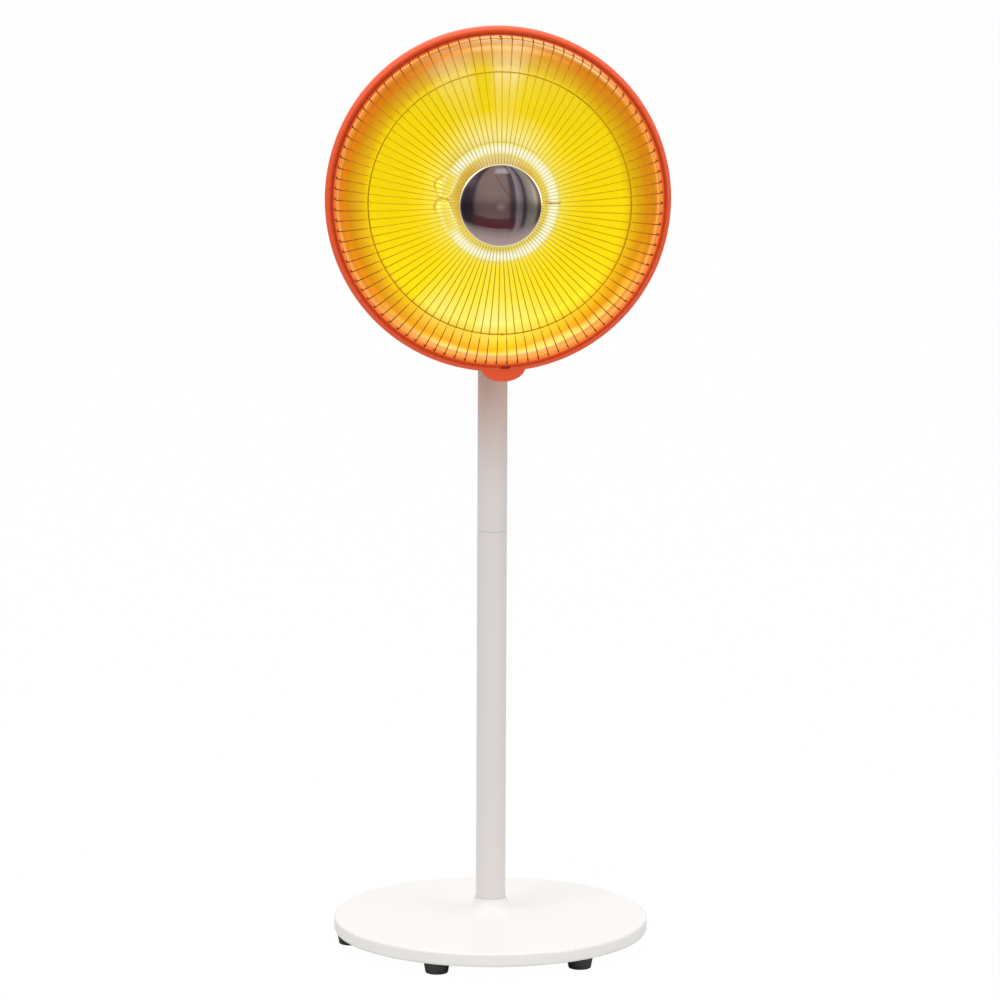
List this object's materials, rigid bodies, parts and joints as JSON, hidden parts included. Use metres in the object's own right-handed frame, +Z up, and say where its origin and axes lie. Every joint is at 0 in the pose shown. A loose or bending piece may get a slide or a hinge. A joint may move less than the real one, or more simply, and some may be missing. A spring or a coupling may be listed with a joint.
{
  "type": "carbon heater",
  "caption": "Fan-shaped carbon heater: round orange head with a domed wire guard and ring lamp, on a white pole and round weighted base; swings and tilts.",
  "frame": {"origin": "centre of the round base on the floor, under the pole", "axes": "+Z up the pole; the head faces -Y; +X is to the right of someone who looks at the front"},
  "size_m": [0.4001, 0.376, 1.1061],
  "materials": {
    "white_plastic": "glossy white moulded ABS",
    "white_paint": "white powder-coated steel tube",
    "orange_paint": "glossy orange-red enamel",
    "gold_reflector": "gold anodised aluminium, semi-bright",
    "guard_wire": "chrome-plated steel wire",
    "chrome": "polished chrome plate",
    "zinc_steel": "zinc-plated steel",
    "shield_aluminium": "plain rolled aluminium",
    "cast_iron": "rough cast iron",
    "black_rubber": "matt black rubber",
    "cable_jacket": "white flexible jacket",
    "quartz": "clear fused quartz",
    "carbon": "glowing carbon fibre",
    "ceramic": "unglazed steatite",
    "black_plastic": "black moulded plastic",
    "nylon": "natural nylon",
    "grey_plastic": "dark grey moulded plastic",
    "pilot_red": "translucent red lens"
  },
  "bodies": {
    "stand": {"base_cover": "white_plastic", "base_plate": "zinc_steel", "base_weight": "cast_iron", "rubber_feet": "black_rubber", "foot_screws": "zinc_steel", "base_screws": "zinc_steel", "flange_bolts": "zinc_steel", "pole_flange": "zinc_steel", "cable_gland": "cable_jacket", "supply_cable": "cable_jacket", "tip_housing": "black_plastic", "tip_microswitch": "black_plastic", "tip_spring": "zinc_steel", "lower_pole": "white_paint", "upper_pole": "white_paint", "pole_joiner": "black_plastic", "pole_screws": "zinc_steel", "swivel_post": "zinc_steel", "fixed_gear": "nylon", "thrust_washer": "zinc_steel", "retaining_ring": "zinc_steel"},
    "neck": {"neck_shell": "white_plastic", "carrier_plate": "zinc_steel", "swing_motor": "zinc_steel", "motor_screws": "zinc_steel", "bracket_screws": "zinc_steel", "tilt_bracket": "white_plastic", "tilt_washers": "zinc_steel"},
    "pinion": {"swing_pinion": "nylon"},
    "head": {"tilt_pin": "chrome", "tilt_nut": "chrome", "bezel_ring": "orange_paint", "bezel_screws": "zinc_steel", "rear_shell": "orange_paint", "reflector": "gold_reflector", "heat_shield": "shield_aluminium", "shield_spacers": "shield_aluminium", "thermal_cutout": "zinc_steel", "lamp_tube": "quartz", "carbon_filament": "carbon", "lamp_end_caps": "ceramic", "lamp_clamp": "zinc_steel", "clamp_screws": "zinc_steel", "lamp_support": "zinc_steel", "front_guard": "guard_wire", "guard_plate": "zinc_steel", "guard_cap": "chrome", "cap_screw": "zinc_steel", "control_housing": "white_plastic", "control_back_cover": "white_plastic", "housing_screws": "zinc_steel", "back_screws": "zinc_steel", "timer_body": "nylon", "switch_block": "black_plastic", "pilot_lens": "pilot_red"},
    "timer": {"timer_spindle": "zinc_steel", "timer_knob": "grey_plastic"},
    "power_switch": {"power_rocker": "grey_plastic"},
    "swing_switch": {"swing_rocker": "grey_plastic"},
    "plunger": {"tip_plunger": "nylon"}
  },
  "joints": [
    {"name": "head_swing", "type": "hinge", "parent": "stand", "child": "neck", "pos_m": [0, 0, 0.785], "axis": [0, 0, 1], "range_deg": [-35, 35]},
    {"name": "head_tilt", "type": "hinge", "parent": "neck", "child": "head", "pos_m": [0, 0.004, 0.82], "axis": [1, 0, 0], "range_deg": [-25, 12]},
    {"name": "pinion_spin", "type": "hinge", "parent": "neck", "child": "pinion", "pos_m": [0, 0.024, 0.776], "axis": [0, 0, 1], "range_deg": [-72, 72]},
    {"name": "timer_turn", "type": "hinge", "parent": "head", "child": "timer", "pos_m": [0, 0.042, 0.928], "axis": [0, -1, 0], "range_deg": [0, 280]},
    {"name": "power_rock", "type": "hinge", "parent": "head", "child": "power_switch", "pos_m": [0.0105, 0.039, 0.884], "axis": [1, 0, 0], "range_deg": [0, 16]},
    {"name": "swing_rock", "type": "hinge", "parent": "head", "child": "swing_switch", "pos_m": [-0.0105, 0.039, 0.884], "axis": [1, 0, 0], "range_deg": [0, 16]},
    {"name": "tip_plunge", "type": "slide", "parent": "stand", "child": "plunger", "axis": [0, 0, 1], "range_m": [-0.004, 0], "stiffness_N_per_m": 100, "springref_m": -0.006, "deforming": ["tip_spring"]}
  ],
  "couplings": [
    {"joint": "pinion_spin", "follows": "head_swing", "ratio": 2}
  ]
}
